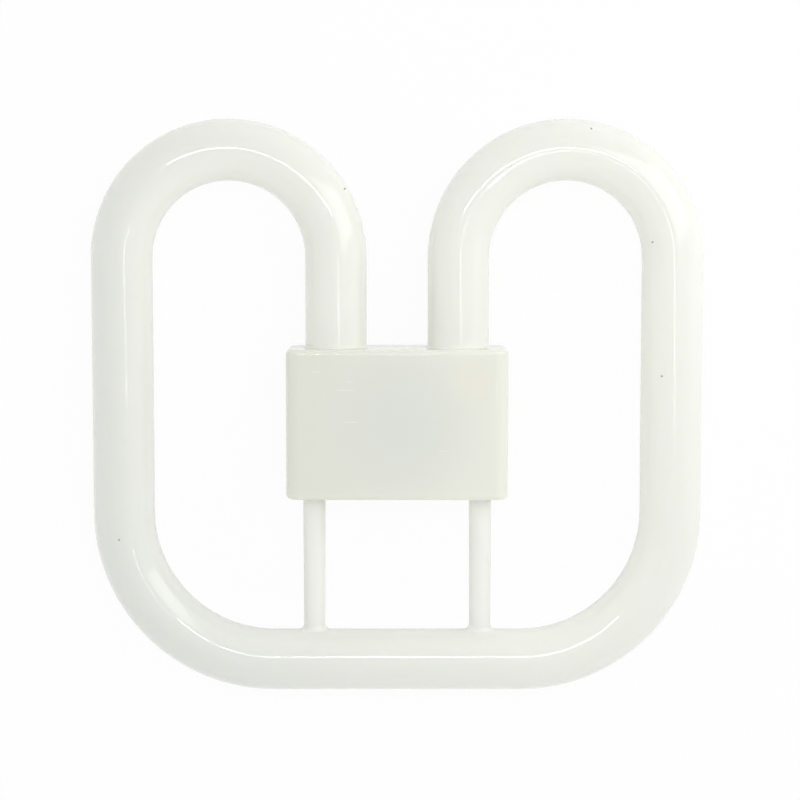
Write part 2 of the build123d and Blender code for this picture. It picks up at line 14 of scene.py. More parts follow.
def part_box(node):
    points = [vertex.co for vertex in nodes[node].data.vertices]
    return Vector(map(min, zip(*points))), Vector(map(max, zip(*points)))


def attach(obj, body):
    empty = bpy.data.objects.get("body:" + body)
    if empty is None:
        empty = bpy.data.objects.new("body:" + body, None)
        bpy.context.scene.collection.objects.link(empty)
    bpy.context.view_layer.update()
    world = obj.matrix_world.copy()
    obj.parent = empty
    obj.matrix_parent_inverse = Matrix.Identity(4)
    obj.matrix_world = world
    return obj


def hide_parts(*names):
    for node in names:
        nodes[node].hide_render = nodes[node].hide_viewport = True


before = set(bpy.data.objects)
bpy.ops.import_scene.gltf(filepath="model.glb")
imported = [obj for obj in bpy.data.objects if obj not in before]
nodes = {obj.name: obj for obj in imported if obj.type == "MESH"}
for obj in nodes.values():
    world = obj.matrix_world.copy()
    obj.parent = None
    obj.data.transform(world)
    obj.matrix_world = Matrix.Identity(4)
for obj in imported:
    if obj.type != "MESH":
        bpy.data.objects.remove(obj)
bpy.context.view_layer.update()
print("nodes loaded:", len(nodes))

# %% [markdown]
# Every size that the two shells share is named once, in metres. They are the sizes of the CAD
# model, because the visible skin has to lie where the solids are.

# %% Sizes
mm = 0.001
tube_radius = 10.3 * mm
shell_wall = 1.6 * mm
outer_leg_x = 92.2 * mm
inner_leg_x = 20.5 * mm
arch_radius = (outer_leg_x - inner_leg_x) / 2
arch_x = (outer_leg_x + inner_leg_x) / 2
arch_axis_top = 91.0 * mm
arch_y = arch_axis_top - arch_radius
bar_y = -81.2 * mm
corner_radius = 50.5 * mm
corner_x = outer_leg_x - corner_radius
corner_y = bar_y + corner_radius
axis_z = 17.1 * mm
block_half = 25.0 * mm
block_width = 74.0 * mm
block_front = 31.6 * mm
block_rear = 3.7 * mm
block_side_radius = 4.5 * mm
block_rim_radius = 1.6 * mm
leg_fillet = 1.3 * mm
strut_x = 28.0 * mm
strut_block_radius = 4.0 * mm
strut_bar_radius = 3.55 * mm
strut_fillet = 2.0 * mm
strut_top = block_half - block_rim_radius - shell_wall
opening_width = 44.0 * mm
opening_length = 36.0 * mm
opening_radius = 5.0 * mm
tongue_height = 1.4 * mm
tongue_gap = 0.1 * mm
board_drop = 3.0 * mm
board_thickness = 1.0 * mm
board_bottom = axis_z - board_drop
board_top = board_bottom + board_thickness
board_setback = 6.0 * mm
board_end_y = block_half - shell_wall - board_setback
board_gap = 0.6 * mm
hair = 0.001 * mm
print("tube", 2 * tube_radius / mm, "mm across, arches", arch_radius / mm, "mm to the axis")

# %% [markdown]
# Operators act on whatever is selected, so each step first deselects everything and then picks
# edges or faces by where they are or which way they look. Four small helpers do that for every
# piece, and the last of them cleans it when a step is done.

# %% Helpers for picking
facing = 0.9
print("a face looks along an axis where its normal has more than", facing, "along it")


def only(piece):
    """Select one object and nothing else."""
    if bpy.context.mode != "OBJECT":
        bpy.ops.object.mode_set(mode="OBJECT")
    bpy.ops.object.select_all(action="DESELECT")
    piece.hide_set(False)
    piece.select_set(True)
    bpy.context.view_layer.objects.active = piece
    return piece


def edit(piece):
    """Open a piece in edit mode with nothing picked."""
    only(piece)
    bpy.ops.object.mode_set(mode="EDIT")
    bpy.ops.mesh.select_all(action="DESELECT")


def pick(piece, what, test):
    """Pick the edges or faces of the piece in edit mode that pass a test."""
    bpy.ops.mesh.select_mode(type=what)
    mesh = bmesh.from_edit_mesh(piece.data)
    for part in {"EDGE": mesh.edges, "FACE": mesh.faces}[what]:
        part.select_set(test(part))
    mesh.select_flush_mode()
    bmesh.update_edit_mesh(piece.data)


def tidy(piece):
    """Merge doubles and turn every face outwards, then leave edit mode."""
    bpy.ops.mesh.select_all(action="SELECT")
    bpy.ops.mesh.remove_doubles(threshold=hair)
    bpy.ops.mesh.normals_make_consistent(inside=False)
    bpy.ops.object.mode_set(mode="OBJECT")
    return piece


# %% [markdown]
# A modifier is applied as soon as it is added, so that each step starts from a finished mesh. A
# boolean shares its work out over the processor's cores and leaves the points and faces in another
# order each time, and the fill of a cut depends on that order. So the order is set again after each
# boolean, by where the points lie, and the lamp comes out the same in every run.

# %% Modifiers and booleans
def modify(piece, kind, **settings):
    """Add one modifier and apply it."""
    only(piece)
    modifier = piece.modifiers.new(kind.title(), kind)
    for name, value in settings.items():
        setattr(modifier, name, value)
    bpy.ops.object.modifier_apply(modifier=modifier.name)
    return piece


def settle(piece):
    """Number the points by where they lie and the faces by their points."""
    mesh = piece.data
    points = [v.co.to_tuple() for v in mesh.vertices]
    order = sorted(range(len(points)), key=points.__getitem__)
    rank = {old: new for new, old in enumerate(order)}
    faces = []
    for face in mesh.polygons:
        corners = [rank[i] for i in face.vertices]
        first = corners.index(min(corners))
        faces.append(corners[first:] + corners[:first])
    mesh.clear_geometry()
    mesh.from_pydata([points[i] for i in order], [], sorted(faces))
    mesh.update()
    return piece


def combine(piece, other, operation, keep_other=False):
    """Boolean of two closed pieces, with its result in a fixed order."""
    modify(piece, "BOOLEAN", object=other, operation=operation, solver="EXACT")
    if not keep_other:
        bpy.data.objects.remove(other)
    return settle(piece)


print("points closer than", hair / mm, "mm are merged")

# %% [markdown]
# The light tube is one round bar bent in a plane. On the real lamp each half of it is moulded, but
# the outside is that of a bent pipe, so it is made as one would be bent: a ring is drawn out
# straight, spun round each bend and drawn out again. Only the right half is made, and a mirror
# gives the left. Where the tube enters the block it widens along a quarter circle, as a fillet does,
# and its last ring lies just inside the block, so that no two faces of a boolean lie in one plane.

# %% Light tube
ring_sides = 96
corner_steps = 36
arch_steps = 60
run_step = 5.0 * mm
flare_steps = 8
sink = 0.02 * mm


def draw_out(direction, length, step=run_step):
    """Draw the picked ring out along a direction in even steps."""
    count = max(1, round(length / step))
    for _ in range(count):
        move = Vector(direction) * (length / count)
        bpy.ops.mesh.extrude_region_move(TRANSFORM_OT_translate={"value": move})


def ring(radius, place, turn):
    """A ring at a place, open in edit mode and picked."""
    if bpy.context.mode != "OBJECT":
        bpy.ops.object.mode_set(mode="OBJECT")
    bpy.ops.object.select_all(action="DESELECT")
    bpy.ops.mesh.primitive_circle_add(
        vertices=ring_sides, radius=radius, fill_type="NOTHING", location=place, rotation=turn
    )
    piece = bpy.context.active_object
    bpy.ops.object.transform_apply(location=True, rotation=True, scale=True)
    bpy.ops.object.mode_set(mode="EDIT")
    bpy.ops.mesh.select_mode(type="VERT")
    bpy.ops.mesh.select_all(action="SELECT")
    return piece


def quarter_circle(steps):
    """Pairs of angles, from one to the next, that divide a quarter circle."""
    return [(pi / 2 * i / steps, pi / 2 * (i + 1) / steps) for i in range(steps)]


def flare(x, y, radius, growth):
    """Widen the picked ring along a quarter circle, as a fillet does where a bar meets a wall."""
    for last, angle in quarter_circle(flare_steps):
        step = growth * (sin(angle) - sin(last))
        old, new = (radius + growth * (1 - cos(a)) for a in (last, angle))
        y -= step
        bpy.ops.mesh.extrude_region_move(TRANSFORM_OT_translate={"value": (0, -step, 0)})
        bpy.ops.transform.resize(value=(new / old, 1, new / old), center_override=(x, y, axis_z))


def light_tube(inset):
    """The bent tube, closed at both ends inside the block."""
    radius = tube_radius - inset
    piece = ring(radius, (0, bar_y, axis_z), (0, pi / 2, 0))
    draw_out((1, 0, 0), corner_x)
    bpy.ops.mesh.spin(
        steps=corner_steps, angle=-pi / 2, center=(corner_x, corner_y, axis_z), axis=(0, 0, 1)
    )
    draw_out((0, 1, 0), arch_y - corner_y, step=2 * run_step)
    bpy.ops.mesh.spin(
        steps=arch_steps, angle=-pi, center=(arch_x, arch_y, axis_z), axis=(0, 0, 1)
    )
    if inset:
        draw_out((0, -1, 0), arch_y)
    else:
        flare_y = block_half + leg_fillet - sink
        draw_out((0, -1, 0), arch_y - flare_y)
        flare(inner_leg_x, flare_y, radius, leg_fillet)
        draw_out((0, -1, 0), block_half)
    bpy.ops.mesh.edge_face_add()
    bpy.ops.object.mode_set(mode="OBJECT")
    modify(piece, "MIRROR", use_axis=(True, False, False), merge_threshold=hair)
    edit(piece)
    return tidy(piece)


print("steps in a corner", corner_steps, "and in an arch", arch_steps)

# %% [markdown]
# The centre block is a box whose upright edges are well rounded and whose two ends have a smaller
# soft rim. A cube is stretched to size and its four long edges are bevelled. Then each end face is
# inset and pushed out in small steps along a quarter circle, which keeps the rim even all round.

# %% Centre block
side_steps = 14
rim_steps = 6


def block_body(inset):
    """The centre block, drawn in from its outside by the inset."""
    rim = max(block_rim_radius - inset, 0)
    size = Vector((block_width, 2 * block_half, block_front - block_rear)) - Vector((2 * inset,) * 3)
    size.y -= 2 * rim
    bpy.ops.object.select_all(action="DESELECT")
    bpy.ops.mesh.primitive_cube_add(size=1, location=(0, 0, (block_front + block_rear) / 2), scale=size)
    piece = bpy.context.active_object
    bpy.ops.object.transform_apply(location=True, rotation=True, scale=True)
    edit(piece)
    pick(piece, "EDGE", lambda e: abs((e.verts[0].co - e.verts[1].co).y) > block_half)
    bpy.ops.mesh.bevel(offset=block_side_radius - inset, segments=side_steps, affect="EDGES")
    if rim:
        for side in (-1, 1):
            pick(piece, "FACE", lambda f: f.normal.y * side > facing)
            for last, angle in quarter_circle(rim_steps):
                bpy.ops.mesh.inset(
                    thickness=rim * (cos(last) - cos(angle)),
                    depth=rim * (sin(angle) - sin(last)),
                    use_even_offset=True,
                )
    return tidy(piece)


print("block", block_width / mm, "by", 2 * block_half / mm, "mm in front")

# %% [markdown]
# Each strut is a thin round bar that tapers a little towards the straight bar and widens into it.
# The widening follows a quarter circle, and each of its rings is let down by as much as the bar's
# round surface falls away there, so that the strut runs into the bar without a step.

# %% Struts
def bar_fall(z, radius):
    """How far the bar's surface lies below its crest line at a height beside its axis."""
    return radius - sqrt(max(radius**2 - (z - axis_z) ** 2, 0))


def strut(inset):
    """The right strut, from inside the block down into the bar."""
    top, bottom = strut_block_radius - inset, strut_bar_radius - inset
    piece = ring(top, (strut_x, strut_top, axis_z), (pi / 2, 0, 0))
    bpy.ops.mesh.edge_face_add()
    seat = bar_y + tube_radius
    end = bar_y if inset else seat + strut_fillet
    share = (strut_top - end) / (strut_top - bar_y)
    radius = top + (bottom - top) * share
    bpy.ops.mesh.extrude_region_move(
        TRANSFORM_OT_translate={"value": (0, end - strut_top, 0)}
    )
    bpy.ops.transform.resize(
        value=(radius / top, 1, radius / top), center_override=(strut_x, end, axis_z)
    )
    if not inset:
        flare(strut_x, end, radius, strut_fillet)
        bpy.ops.mesh.extrude_region_move(TRANSFORM_OT_translate={"value": (0, -2 * sink, 0)})
        mesh = bmesh.from_edit_mesh(piece.data)
        for vertex in mesh.verts:
            if vertex.co.y < seat + strut_fillet + hair:
                vertex.co.y -= bar_fall(vertex.co.z, tube_radius) + sink
        bmesh.update_edit_mesh(piece.data)
    return tidy(piece)


def lamp_body(inset):
    """The whole lamp as one closed solid, drawn in from its outside by the inset."""
    body = block_body(inset)
    combine(body, light_tube(inset), "UNION")
    one = strut(inset)
    both = modify(one, "MIRROR", use_axis=(True, False, False), use_mirror_merge=False)
    return combine(body, both, "UNION")


print("struts", 2 * strut_x / mm, "mm apart")

# %% [markdown]
# The real lamp's outside is two moulded halves that meet at the tube's mid-plane, each 1.6 mm
# thick. Here the whole outer form is cut at that plane, and the same form drawn in by the wall is
# taken out of each half. Cutting one form in two keeps both halves' edges exactly alike. The sharp
# edge of the cut is broken slightly while it is still the only edge there, so the weld shows as the
# fine line that runs round such a lamp.

# %% Cutting at the seam
seam_break = 0.12 * mm
seam_depth = 3.0 * mm


def report(piece):
    """Print a piece's box in millimetres, its faces and whether it is closed."""
    mesh = bmesh.new()
    mesh.from_mesh(piece.data)
    low, high = (
        [round(limit(v.co[i] for v in mesh.verts) / mm, 2) for i in range(3)] for limit in (min, max)
    )
    open_edges = sum(not e.is_manifold for e in mesh.edges)
    print(piece.name, low, high, "faces", len(mesh.faces), "open edges", open_edges)
    mesh.free()


def copy_of(piece, name):
    """The same piece once more, with its own mesh."""
    twin = piece.copy()
    twin.data = piece.data.copy()
    twin.name = twin.data.name = name
    bpy.context.scene.collection.objects.link(twin)
    return twin


def keep_side(piece, height, above):
    """Cut a closed piece level at a height, keep what lies above or below, and close the cut."""
    edit(piece)
    bpy.ops.mesh.select_all(action="SELECT")
    bpy.ops.mesh.bisect(
        plane_co=(0, 0, height),
        plane_no=(0, 0, 1),
        use_fill=True,
        clear_inner=above,
        clear_outer=not above,
        threshold=hair,
    )
    return tidy(piece)


def in_seam(edge):
    """Whether an edge lies in the plane where the halves meet."""
    return all(abs(v.co.z - axis_z) < hair for v in edge.verts)


def half_of(piece, front):
    """One half of the lamp's outer form, with its sharp edge at the seam broken."""
    keep_side(piece, axis_z, above=front)
    edit(piece)
    pick(piece, "EDGE", lambda e: in_seam(e) and any(abs(f.normal.z) < facing for f in e.link_faces))
    bpy.ops.mesh.bevel(offset=seam_break, segments=1, affect="EDGES")
    return tidy(piece)


def slice_at_seam(inset, height):
    """The lamp's form drawn in by an inset, from below the seam up to a height above it."""
    piece = keep_side(lamp_body(inset), axis_z + height, above=False)
    return keep_side(piece, axis_z - seam_depth, above=True)


rear_shell = lamp_body(0)
rear_shell.name = "rear_shell"
front_shell = copy_of(rear_shell, "front_shell")
for shell in (front_shell, rear_shell):
    half_of(shell, front=shell is front_shell)
    report(shell)

# %% [markdown]
# Where they are welded, a tongue on the rear half stands in a rebate of the front half. Both are
# slices of the same form: the tongue is drawn in by half the wall and a little clearance, and the
# rebate by half the wall. The hollow is taken out last, so it also opens the tongue.

# %% Tongue, rebate and hollow
tongue = slice_at_seam(shell_wall / 2 + tongue_gap, tongue_height)
rebate = slice_at_seam(shell_wall / 2, tongue_height + tongue_gap)
hollow = lamp_body(shell_wall)
combine(rear_shell, tongue, "UNION")
combine(front_shell, rebate, "DIFFERENCE")
for shell in (front_shell, rear_shell):
    combine(shell, hollow, "DIFFERENCE", keep_other=True)
    report(shell)
bpy.data.objects.remove(hollow)

# %% [markdown]
# Inside the rear half, thin ribs cross the tube and carry the light boards. Each has a peg that
# goes through a hole in its board and is headed over, like a rivet. One rib is modelled on the
# origin, with its peg drawn up from a ring, and copies of it are placed along the three kinds of
# board. The light sources divide a board into even steps, and a rib stands half-way between two of
# them, so its place is a whole number of steps from the board's start.

# %% Ribs with pegs
rib_thickness = 1.4 * mm
peg_radius = 0.9 * mm
head_radius = 1.6 * mm
head_height = 0.8 * mm
head_taper = radians(30)
rib_sides = 64
peg_root = 0.3 * mm


def lift(height, scale=1.0):
    """Draw the picked ring up and scale it about the upright axis."""
    bpy.ops.mesh.extrude_region_move(TRANSFORM_OT_translate={"value": (0, 0, height)})
    bpy.ops.transform.resize(value=(scale, scale, 1), center_override=(0, 0, 0))


def board_rib():
    """One rib across the tube with the peg that holds the board, on the origin."""
    peg = ring(peg_radius, (0, 0, board_bottom - peg_root), (0, 0, 0))
    bpy.ops.mesh.edge_face_add()
    lift(board_top - board_bottom + peg_root)
    lift(0, head_radius / peg_radius)
    lift(head_height, (head_radius - head_height * tan(head_taper)) / head_radius)
    tidy(peg)
    bpy.ops.object.select_all(action="DESELECT")
    bpy.ops.mesh.primitive_cylinder_add(
        vertices=rib_sides,
        radius=tube_radius - shell_wall / 2,
        depth=rib_thickness,
        location=(0, 0, axis_z),
        rotation=(0, pi / 2, 0),
    )
    rib = bpy.context.active_object
    bpy.ops.object.transform_apply(location=True, rotation=True, scale=True)
    keep_side(rib, board_bottom, above=False)
    return combine(rib, peg, "UNION")


def arch_place(share):
    """Place and direction part of the way up the inner leg and round the arch."""
    straight = arch_y - board_end_y
    run = share * (straight + pi * arch_radius)
    if run < straight:
        return inner_leg_x, board_end_y + run, pi / 2
    turn = pi - (run - straight) / arch_radius
    return arch_x + arch_radius * cos(turn), arch_y + arch_radius * sin(turn), turn - pi / 2


def leg_place(share):
    """Place and direction part of the way down the outer leg and round the corner."""
    start = arch_y - board_gap
    run = share * (start - corner_y + pi / 2 * corner_radius)
    if run < start - corner_y:
        return outer_leg_x, start - run, -pi / 2
    turn = -(run - start + corner_y) / corner_radius
    return corner_x + corner_radius * cos(turn), corner_y + corner_radius * sin(turn), turn - pi / 2


def bar_place(share):
    """Place and direction along the bar."""
    half = corner_x - board_gap
    return half * (1 - 2 * share), bar_y, pi


arch_chips, leg_chips, bar_chips = 18, 20, 10
arch_ribs, leg_ribs, bar_ribs = (3, 9, 15), (2, 8, 12, 18), (2, 8)
right_places = [arch_place(n / arch_chips) for n in arch_ribs]
right_places += [leg_place(n / leg_chips) for n in leg_ribs]
rib_places = right_places + [(-x, y, pi - turn) for x, y, turn in right_places]
rib_places += [bar_place(n / bar_chips) for n in bar_ribs]

pattern = board_rib()
ribs = []
for number, (x, y, turn) in enumerate(rib_places):
    rib = copy_of(pattern, f"rib_{number}")
    rib.location, rib.rotation_euler = (x, y, 0), (0, 0, turn)
    ribs.append(rib)
bpy.data.objects.remove(pattern)
print("ribs", len(ribs))

# %% [markdown]
# Four round posts stand on the back wall of the block and carry the driver board. A ring becomes a
# post by drawing it up, and its pilot hole is an inset top face that is pushed down again.

# %% Posts for the driver board
post_radius = 2.7 * mm
pilot_radius = 1.1 * mm
pilot_depth = 5.0 * mm
post_x = 29.4 * mm
post_y = 12.3 * mm
driver_board_y = -1.8 * mm
back_wall = block_rear + shell_wall


def board_post():
    """One post with its pilot hole, on the upright axis."""
    root = back_wall - shell_wall / 2
    post = ring(post_radius, (0, 0, root), (0, 0, 0))
    bpy.ops.mesh.edge_face_add()
    lift(board_bottom - root)
    tidy(post)
    edit(post)
    pick(post, "FACE", lambda f: f.normal.z > facing)
    bpy.ops.mesh.inset(thickness=post_radius - pilot_radius)
    bpy.ops.mesh.extrude_region_move(TRANSFORM_OT_translate={"value": (0, 0, -pilot_depth)})
    return tidy(post)


pattern = board_post()
posts = []
for x in (-post_x, post_x):
    for y in (driver_board_y - post_y, driver_board_y + post_y):
        post = copy_of(pattern, f"post_{len(posts)}")
        post.location = (x, y, 0)
        posts.append(post)
bpy.data.objects.remove(pattern)


def join(pieces):
    """Join pieces into the first, with its place in its mesh."""
    bpy.ops.object.select_all(action="DESELECT")
    for piece in pieces:
        piece.select_set(True)
    bpy.context.view_layer.objects.active = pieces[0]
    bpy.ops.object.join()
    bpy.ops.object.transform_apply(location=True, rotation=True, scale=True)
    return pieces[0]


combine(rear_shell, join(ribs + posts), "UNION")
report(rear_shell)

# %% [markdown]
# The rear half has a rectangular opening for the base cap. A cube is stretched to size, its upright
# edges are rounded, and it is taken out of the back wall.

# %% Opening for the cap
opening_steps = 10


def rounded_bar(width, length, low, high, radius):
    """Upright bar with rounded corners, as a tool to cut with or a plate to build on."""
    bpy.ops.object.select_all(action="DESELECT")
    bpy.ops.mesh.primitive_cube_add(
        size=1, location=(0, 0, (low + high) / 2), scale=(width, length, high - low)
    )
    piece = bpy.context.active_object
    bpy.ops.object.transform_apply(location=True, rotation=True, scale=True)
    edit(piece)
    pick(piece, "EDGE", lambda e: abs((e.verts[0].co - e.verts[1].co).z) > hair)
    bpy.ops.mesh.bevel(offset=radius, segments=opening_steps, affect="EDGES")
    return tidy(piece)


opening = rounded_bar(opening_width, opening_length, 0, axis_z / 2, opening_radius)
combine(rear_shell, opening, "DIFFERENCE")
report(rear_shell)

# %% [markdown]
# Both halves are round or flat almost everywhere, so smooth shading is kept below 32 degrees and the
# sharper edges stay crisp. Weighted normals then let the large flat faces of the block stay flat
# right up to their rounded edges. Each shell stands for the CAD node of the same form.

# %% Smooth shading and bodies
smooth_angle = radians(32)


def smooth(piece):
    """Smooth the soft edges and keep the flat faces flat."""
    only(piece)
    bpy.ops.object.shade_smooth_by_angle(angle=smooth_angle)
    return modify(piece, "WEIGHTED_NORMAL", keep_sharp=True)


for shell, node, slot in (
    (front_shell, "front_diffuser", "opal_front"),
    (rear_shell, "rear_housing", "opal_rear"),
):
    smooth(shell)
    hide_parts(node)
    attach(shell, "root")
    print(shell.name, "stands for", node)

# %% [markdown]
# Shader sums read best as sums. This small class wraps a socket, so that a mask can be written as
# 1 - spots * 0.5, and gives one method that adds any other node with its settings and its links. A
# Mix node has a set of sockets for each kind of value, all with the same names, so its two colours
# and their mix are picked by number.

# %% Shader sums
mix_first, mix_second, mix_result = 6, 7, 2


class Strand:
    """An output of a node, with the sums that a finish needs."""

    def __init__(self, tree, socket=None):
        self.tree = tree
        self.socket = socket

    def node(self, kind, inputs=None, output=0, **settings):
        """Add a node: its settings first, then the values or links of its sockets."""
        made = self.tree.nodes.new(kind)
        for name, value in settings.items():
            setattr(made, name, value)
        for name, value in (inputs or {}).items():
            if isinstance(value, Strand):
                self.tree.links.new(value.socket, made.inputs[name])
            else:
                made.inputs[name].default_value = value
        return Strand(self.tree, made.outputs[output] if made.outputs else None)

    def sum(self, operation, *others):
        """One Math node on this value and the others."""
        values = dict(enumerate((self, *others)))
        return self.node("ShaderNodeMath", values, operation=operation)

    def __add__(self, other):
        return self.sum("ADD", other)

    def __sub__(self, other):
        return self.sum("SUBTRACT", other)

    def __mul__(self, other):
        return self.sum("MULTIPLY", other)

    def __rsub__(self, other):
        return self.sum("MULTIPLY", -1.0) + other

    __radd__ = __add__
    __rmul__ = __mul__

    def fade(self, low, high, start=0.0, end=1.0):
        """Run smoothly from start to end as this value goes from low to high."""
        inputs = {"Value": self, "From Min": low, "From Max": high, "To Min": start, "To Max": end}
        return self.node("ShaderNodeMapRange", inputs, interpolation_type="SMOOTHSTEP")

    def blend(self, first, second):
        """Mix two colours by this value."""
        inputs = {"Factor": self, mix_first: first, mix_second: second}
        return self.node("ShaderNodeMix", inputs, output=mix_result, data_type="RGBA")


print("sums on a Strand add Math nodes")

# %% [markdown]
# Every finish starts from the same few steps: a new material, a place on the object, some noise and
# a bump. Colours are written as they are seen on the screen, 0 to 255, and turned into amounts of
# light by the screen's standard curve.

# %% Helpers for finishes
def colour(red, green, blue):
    """A colour as it is seen on the screen, turned into the light that it stands for."""
    seen = (c / 255 for c in (red, green, blue))
    return (*(c / 12.92 if c <= 0.04045 else ((c + 0.055) / 1.055) ** 2.4 for c in seen), 1)


def finish(name):
    """A new material: the material, its shader and where on the object a point lies."""
    material = bpy.data.materials.new(name)
    material.use_nodes = True
    tree = material.node_tree
    shader = tree.nodes["Principled BSDF"]
    place = Strand(tree).node("ShaderNodeTexCoord", output="Object")
    return material, shader, place


def give(material, *pieces):
    """Give pieces a material in place of whatever they had."""
    for piece in pieces:
        piece.data.materials.clear()
        piece.data.materials.append(material)
    print(material.name, "on", ", ".join(piece.name for piece in pieces))


def split(place):
    """The three coordinates of a place, each as a value."""
    return [place.node("ShaderNodeSeparateXYZ", {"Vector": place}, output=i) for i in range(3)]


def feed(shader, place, **inputs):
    """Set or link the shader's sockets, named with underscores for spaces."""
    for name, value in inputs.items():
        socket = shader.inputs[name.replace("_", " ")]
        if isinstance(value, Strand):
            place.tree.links.new(value.socket, socket)
        else:
            socket.default_value = value


def grain(place, scale, detail=2.0):
    """Soft noise over the object, about 0 to 1."""
    inputs = {"Vector": place, "Scale": scale, "Detail": detail, "Roughness": 0.5}
    return place.node("ShaderNodeTexNoise", inputs)


def raised(place, height, distance, strength):
    """A bump from a height, its distance in metres."""
    inputs = {"Height": height, "Distance": distance, "Strength": strength}
    return place.node("ShaderNodeBump", inputs)


noise_middle = (0.3, 0.7)
print("most of a noise lies between", *noise_middle)

# %% [markdown]
# The shells are opal polycarbonate: milky, glossy, and a little green where the plastic is thick.
# It could be a glass with scattering inside, but a closed opal moulding of this thickness sends
# nearly all light back, so a shader with light scattering under its surface gives the same look
# and bakes well. Its colour drifts a little between cool and warm, as such a moulding's does, and
# faint flow marks from the mould run the lamp's long way, from the bar to the arches. A painted
# shade also darkens the colour towards the lower left, away from the key light at the upper right.

# %% Opal plastic
edge_blur = 0.4 * mm
strut_tone = colour(245, 246, 238)
# The painted shade is full at the lower left and gone at the upper right; the lean tilts its line.
painted_shade_start, painted_shade_end = -120 * mm, 40 * mm
painted_shade_lean = 0.6
flow_stretch = (1.0, 0.35, 1.0)
flow_share = 0.25
milk_depth = 3.0 * mm


def within(value, low, high, blur):
    """1 where a value lies between two limits, with soft ends."""
    return value.fade(low - blur, low) * value.fade(high, high + blur, 1.0, 0.0)


def spot(place, x, y, reach):
    """How far a point lies from a spot on the face, in reaches of the spot."""
    centred = {
        "Vector": place,
        "Location": (-x / reach, -y / reach, 0),
        "Scale": (1 / reach, 1 / reach, 0),
    }
    away = place.node("ShaderNodeMapping", centred)
    return place.node("ShaderNodeVectorMath", {0: away}, output="Value", operation="LENGTH")


def opal(name, tint, deep, warm, painted_shade, block_tone, marks):
    """Milky moulded plastic with a slow drift of colour, faint flow marks and a painted shade towards
    the lower left.
    """
    material, shader, place = finish(name)
    drift = grain(place, scale=14.0, detail=1.0)
    stretched = place.node("ShaderNodeMapping", {"Vector": place, "Scale": flow_stretch})
    flow = grain(stretched, scale=60.0)
    body = drift.fade(low=0.35, high=0.65).blend(tint, deep)
    body = (flow.fade(low=0.4, high=0.75) * flow_share).blend(body, warm)
    x, y, _ = split(place)
    # Painted shade: the colour darkens towards the lower left, away from the key light.
    body = (x + y * painted_shade_lean).fade(painted_shade_start, painted_shade_end, 1.0, 0.0).blend(body, painted_shade)
    half = block_width / 2
    on_block = within(x, -half, half, edge_blur) * within(y, -block_half, block_half, edge_blur)
    body = on_block.blend(body, block_tone(place, x))
    aside = x.sum("ABSOLUTE")
    on_strut = within(aside, strut_x - strut_block_radius, strut_x + strut_block_radius, edge_blur)
    on_strut = on_strut * within(y, bar_y + tube_radius, -block_half - 2 * edge_blur, edge_blur)
    body = on_strut.blend(body, strut_tone)
    body = marks(place, x, y, body)
    ripple = grain(place, scale=260.0, detail=3.0)
    feed(
        shader,
        place,
        Base_Color=body,
        Roughness=ripple.fade(*noise_middle, start=0.05, end=0.08),
        IOR=1.58,
        Subsurface_Weight=0.35,
        Subsurface_Radius=(1.0, 1.0, 0.85),
        Subsurface_Scale=milk_depth,
        Normal=raised(place, grain(place, scale=90.0), distance=0.02 * mm, strength=0.25),
    )
    return material


print("light spreads about", milk_depth / mm, "mm under the opal's surface")

# %% [markdown]
# Behind the block's face lies the driver, which darkens the milky plastic in the middle and leaves
# it paler and yellower towards the rim. The rim is painted darker on the left and lighter on the
# right, as painted shade and painted light from the key light on the right. The back half of the
# block is painted darker than the front, as painted shade on the side that faces the floor.
# The face also has a few scuffs from handling, and a handful of dust specks cling to the tube. A
# scuff is given by its middle and its length and a speck by its middle, all in millimetres as seen
# from the front.

# %% Block tone, scuffs and specks
# Painted shade on the block's left and painted light on its right.
block_left_painted_shade, block_right_painted_light = colour(225, 226, 214), colour(232, 234, 222)
# Painted shade: the back half's block is darker than the front's, and darker on the left.
rear_left_painted_shade, rear_right_painted_shade = colour(219, 221, 209), colour(227, 229, 217)
block_grey, block_warm = colour(220, 223, 216), colour(234, 231, 217)
grey_spot = (1 * mm, 1 * mm, 34 * mm)
warm_spot = (25 * mm, 15 * mm, 11 * mm)
scuff_tone, speck_tone = colour(248, 249, 244), colour(96, 88, 74)
scuffs = (
    (-15.4, 1.2, 3.6),
    (-17.0, 11.8, 4.4),
    (-15.9, 14.6, 2.0),
    (15.2, -8.4, 2.4),
    (-27.0, 17.8, 2.2),
)
scuff_half = 0.10 * mm
scuff_share = 0.4
specks = ((-17.4, 78.0), (64.1, 97.8), (84.6, 60.4), (-92.9, -38.8), (87.9, 16.0))
speck_reach = 0.45 * mm


def front_tone(place, x):
    """Colour of the block's front, greyer over the driver and warm at its upper right, with painted
    shade on the left and painted light on the right.
    """
    # Painted shade and light: the rim runs from darker on the left to lighter on the right.
    rim = x.fade(-block_width / 2, block_width / 2).blend(block_left_painted_shade, block_right_painted_light)
    middle = spot(place, *grey_spot).fade(low=0.1, high=1.0, start=0.9, end=0.0)
    warm = spot(place, *warm_spot).fade(low=0.1, high=1.0, start=0.7, end=0.0)
    return warm.blend(middle.blend(rim, block_grey), block_warm)


def front_marks(place, x, y, body):
    """Pale scuffs on the block's face and dark specks on the tube."""
    for mark_x, mark_y, length in scuffs:
        half = length / 2 * mm
        line = within(y, mark_y * mm - scuff_half, mark_y * mm + scuff_half, scuff_half)
        line = line * within(x, mark_x * mm - half, mark_x * mm + half, half / 2)
        body = (line * scuff_share).blend(body, scuff_tone)
    for speck_x, speck_y in specks:
        away = spot(place, speck_x * mm, speck_y * mm, speck_reach)
        body = away.fade(low=0.3, high=1.0, start=0.75, end=0.0).blend(body, speck_tone)
    return body


